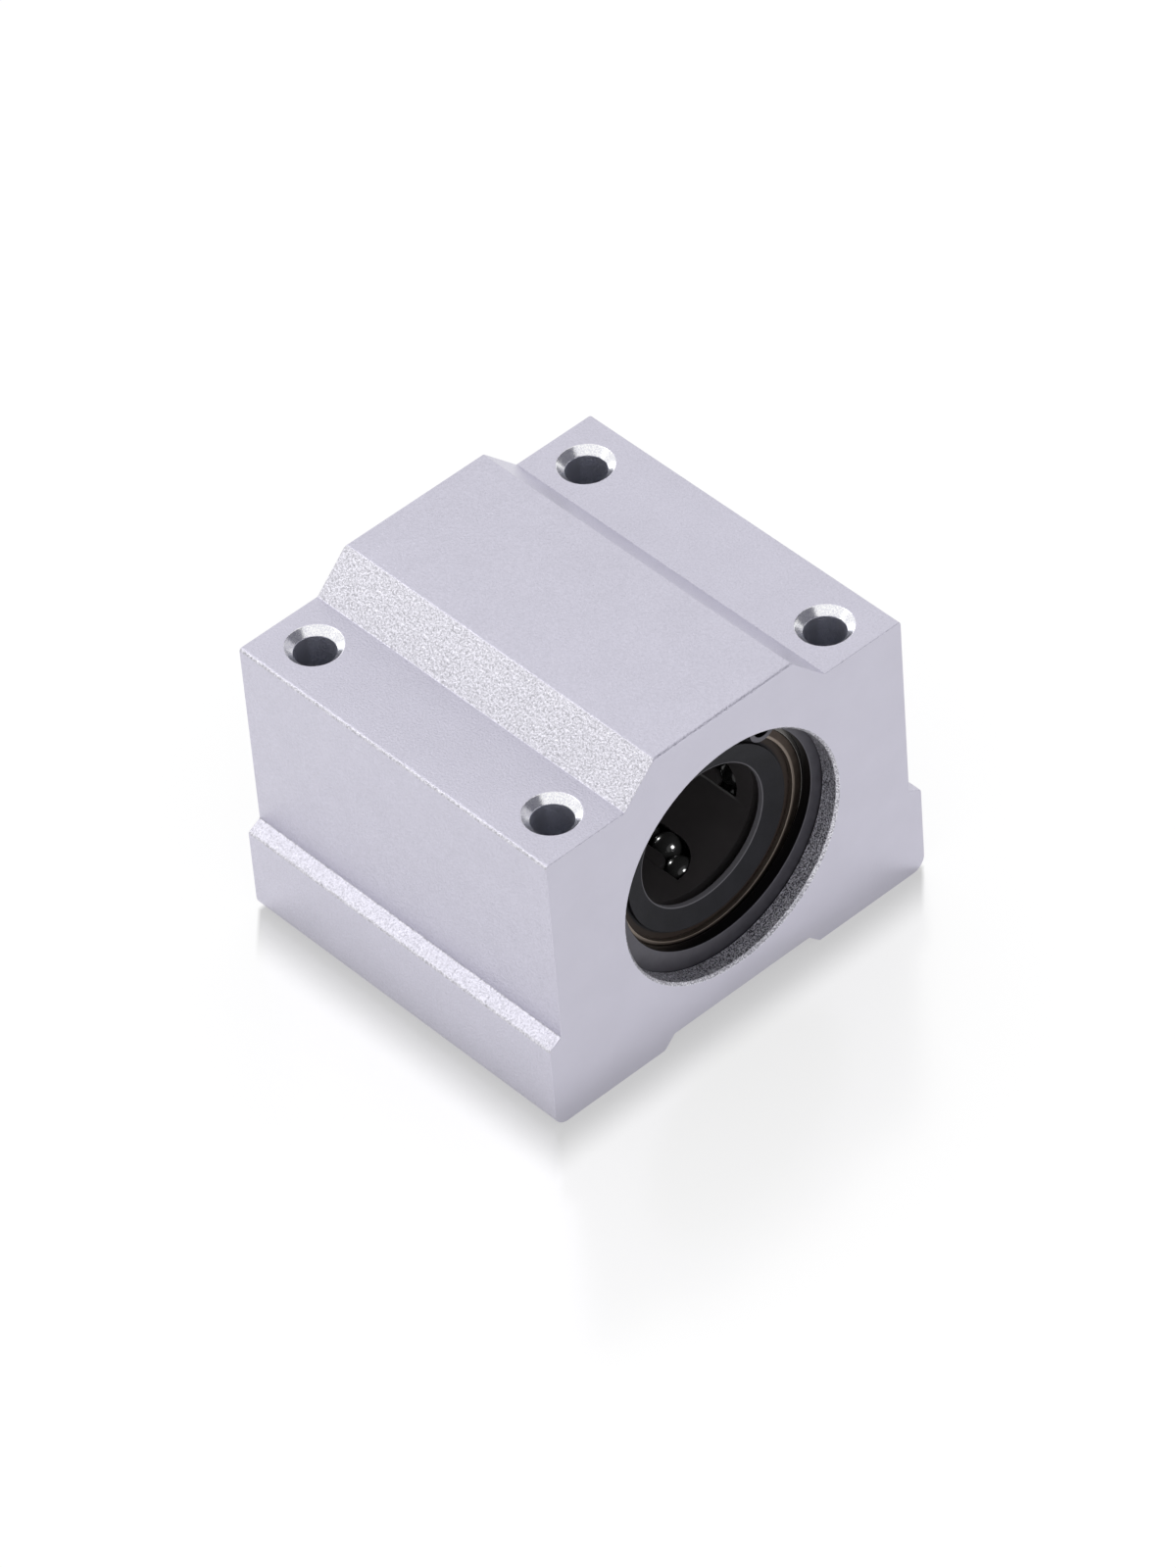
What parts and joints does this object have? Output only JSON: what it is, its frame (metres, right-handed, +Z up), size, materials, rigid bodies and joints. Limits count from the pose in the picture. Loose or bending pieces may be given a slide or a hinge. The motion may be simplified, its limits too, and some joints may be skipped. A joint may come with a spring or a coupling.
{
  "type": "linear bearing block",
  "caption": "Aluminium pillow block with a recirculating ball bushing for a round guide shaft, held by lugged snap rings and sealed at both ends, with screw holes in its shoulders.",
  "frame": {"origin": "middle of the base, on the plane of the base strips, halfway along the shaft", "axes": "+X across the block, +Y along the shaft towards the rear end, +Z up from the base; the front end is at -Y"},
  "size_m": [0.05, 0.044, 0.0385],
  "materials": {
    "housing": "satin",
    "snap_ring": "satin",
    "sleeve": "polished",
    "cage": "matte",
    "side_ring": "satin",
    "seal": "satin",
    "balls": "polished"
  },
  "bodies": {
    "root": {"housing": "housing", "snap_ring_front": "snap_ring", "snap_ring_rear": "snap_ring", "bearing_sleeve": "sleeve", "ball_cage": "cage", "side_ring_front": "side_ring", "side_ring_rear": "side_ring", "seal_front": "seal", "seal_rear": "seal", "loaded_balls_1": "balls", "return_balls_1": "balls", "turning_balls_1": "balls", "loaded_balls_2": "balls", "return_balls_2": "balls", "turning_balls_2": "balls", "loaded_balls_3": "balls", "return_balls_3": "balls", "turning_balls_3": "balls", "loaded_balls_4": "balls", "return_balls_4": "balls", "turning_balls_4": "balls", "loaded_balls_5": "balls", "return_balls_5": "balls", "turning_balls_5": "balls"}
  },
  "joints": []
}
